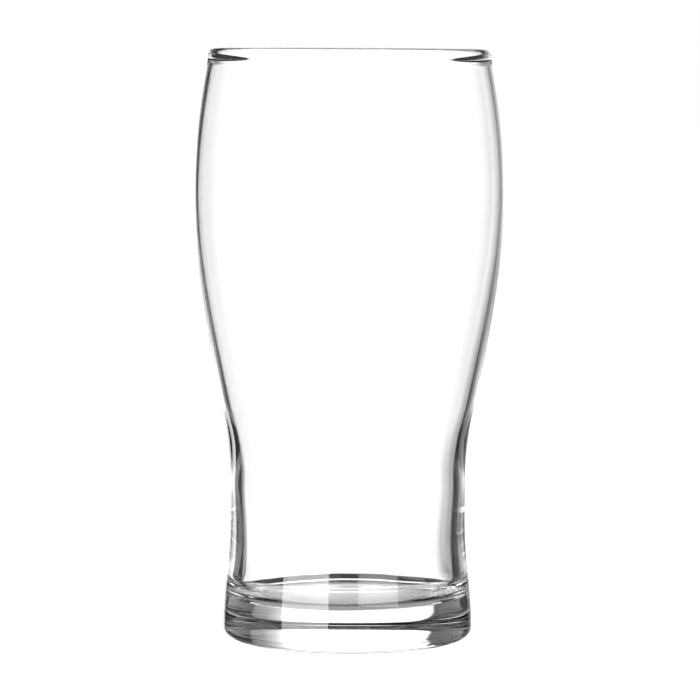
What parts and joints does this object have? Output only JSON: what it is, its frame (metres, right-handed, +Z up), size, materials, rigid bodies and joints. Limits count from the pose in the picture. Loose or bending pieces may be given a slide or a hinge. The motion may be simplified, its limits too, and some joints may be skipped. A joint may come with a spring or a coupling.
{
  "type": "pint glass",
  "caption": "Clear tulip pint glass: thick foot, narrow waist, wide belly and a slightly drawn-in mouth with a round bead.",
  "frame": {"origin": "centre of the plane that the glass rests on", "axes": "+Z up along the axis of the glass, towards the mouth; the glass is the same all round, so X and Y are free"},
  "size_m": [0.0842, 0.0842, 0.16],
  "materials": {
    "clear_glass": "fire-polished, clear"
  },
  "bodies": {
    "root": {"glass_body": "clear_glass"}
  },
  "joints": []
}
